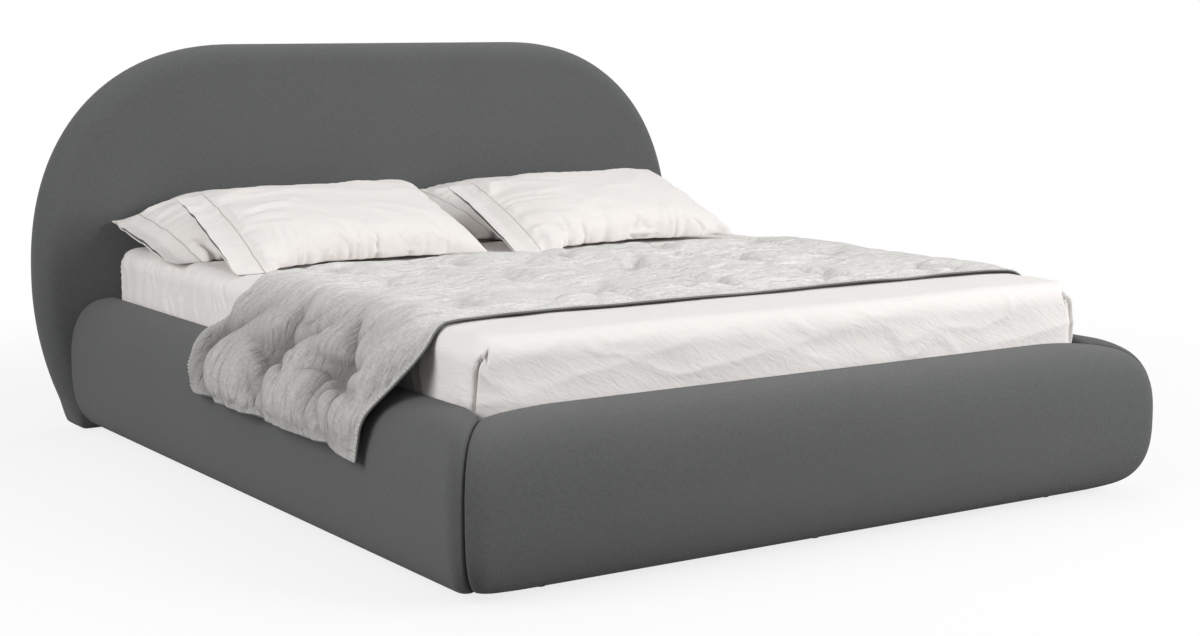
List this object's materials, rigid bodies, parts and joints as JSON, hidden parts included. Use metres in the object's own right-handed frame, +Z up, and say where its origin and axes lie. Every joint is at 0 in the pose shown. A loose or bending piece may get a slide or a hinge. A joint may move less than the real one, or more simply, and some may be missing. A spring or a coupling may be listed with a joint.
{
  "type": "upholstered bed",
  "caption": "Low double bed with thick padded rails and a rounded arch headboard, slatted base, mattress, fitted sheet, quilt and pillows",
  "frame": {"origin": "on the floor, under the middle of the bed's outline", "axes": "+Z up, +Y towards the headboard, +X to the right as seen from the foot"},
  "size_m": [2.104, 2.261, 1.06],
  "materials": {
    "upholstery_fabric": "plain-woven upholstery cloth, matt",
    "upholstery_foam": "open-cell polyurethane foam",
    "plywood": "birch plywood, sanded",
    "pine": "planed pine",
    "bent_beech": "laminated beech, lacquered",
    "holder_plastic": "moulded polypropylene",
    "glide_plastic": "moulded polyethylene",
    "bracket_steel": "zinc-plated pressed steel",
    "powder_coated_steel": "black powder coat",
    "fastener_steel": "zinc-plated steel",
    "mattress_foam": "polyurethane foam block",
    "ticking": "knitted ticking",
    "sheet_cotton": "washed cotton percale",
    "quilt_cloth": "brushed woven wool blend, padded",
    "pillowcase_cotton": "cotton percale",
    "pillow_filling": "polyester fibre filling"
  },
  "bodies": {
    "frame": {"headboard_board": "plywood", "headboard_upright_left": "pine", "headboard_upright_right": "pine", "headboard_foam_front": "upholstery_foam", "headboard_foam_back": "upholstery_foam", "headboard_cover": "upholstery_fabric", "rail_board_left": "plywood", "rail_board_right": "plywood", "foot_board": "plywood", "rail_foam_left": "upholstery_foam", "rail_foam_right": "upholstery_foam", "foot_foam": "upholstery_foam", "rail_cover_left": "upholstery_fabric", "rail_cover_right": "upholstery_fabric", "foot_cover": "upholstery_fabric", "corner_brackets": "bracket_steel", "rail_bolts": "fastener_steel", "threaded_inserts": "fastener_steel", "headboard_bolts": "fastener_steel", "tee_nuts": "fastener_steel", "slat_ledger_left": "pine", "slat_ledger_right": "pine", "ledger_screws": "fastener_steel", "centre_beam": "powder_coated_steel", "beam_hangers": "bracket_steel", "hanger_screws": "fastener_steel", "centre_legs": "powder_coated_steel", "leg_screws": "fastener_steel", "leg_feet": "glide_plastic", "slats_left": "bent_beech", "slats_right": "bent_beech", "slat_holders_left": "holder_plastic", "slat_holders_right": "holder_plastic", "slat_holders_centre": "holder_plastic", "floor_glides": "glide_plastic"},
    "mattress": {"mattress_core": "mattress_foam", "mattress_ticking": "ticking", "bed_sheet": "sheet_cotton"},
    "quilt": {"quilt": "quilt_cloth"},
    "pillow_rear_left": {"pillowcase_rear_left": "pillowcase_cotton", "pillow_filling_rear_left": "pillow_filling"},
    "pillow_rear_right": {"pillowcase_rear_right": "pillowcase_cotton", "pillow_filling_rear_right": "pillow_filling"},
    "pillow_front_left": {"pillowcase_front_left": "pillowcase_cotton", "pillow_filling_front_left": "pillow_filling"},
    "pillow_front_right": {"pillowcase_front_right": "pillowcase_cotton", "pillow_filling_front_right": "pillow_filling"}
  },
  "joints": [
    {"name": "mattress_lift", "type": "slide", "parent": "frame", "child": "mattress", "axis": [0, 0, 1], "range_m": [0, 0.35]},
    {"name": "quilt_lift", "type": "slide", "parent": "mattress", "child": "quilt", "axis": [0, 0, 1], "range_m": [0, 0.3]},
    {"name": "pillow_rear_left_lift", "type": "slide", "parent": "mattress", "child": "pillow_rear_left", "axis": [0, 0, 1], "range_m": [0, 0.25]},
    {"name": "pillow_rear_right_lift", "type": "slide", "parent": "mattress", "child": "pillow_rear_right", "axis": [0, 0, 1], "range_m": [0, 0.25]},
    {"name": "pillow_front_left_lift", "type": "slide", "parent": "pillow_rear_left", "child": "pillow_front_left", "axis": [0, 0, 1], "range_m": [0, 0.25]},
    {"name": "pillow_front_right_lift", "type": "slide", "parent": "pillow_rear_right", "child": "pillow_front_right", "axis": [0, 0, 1], "range_m": [0, 0.25]}
  ]
}
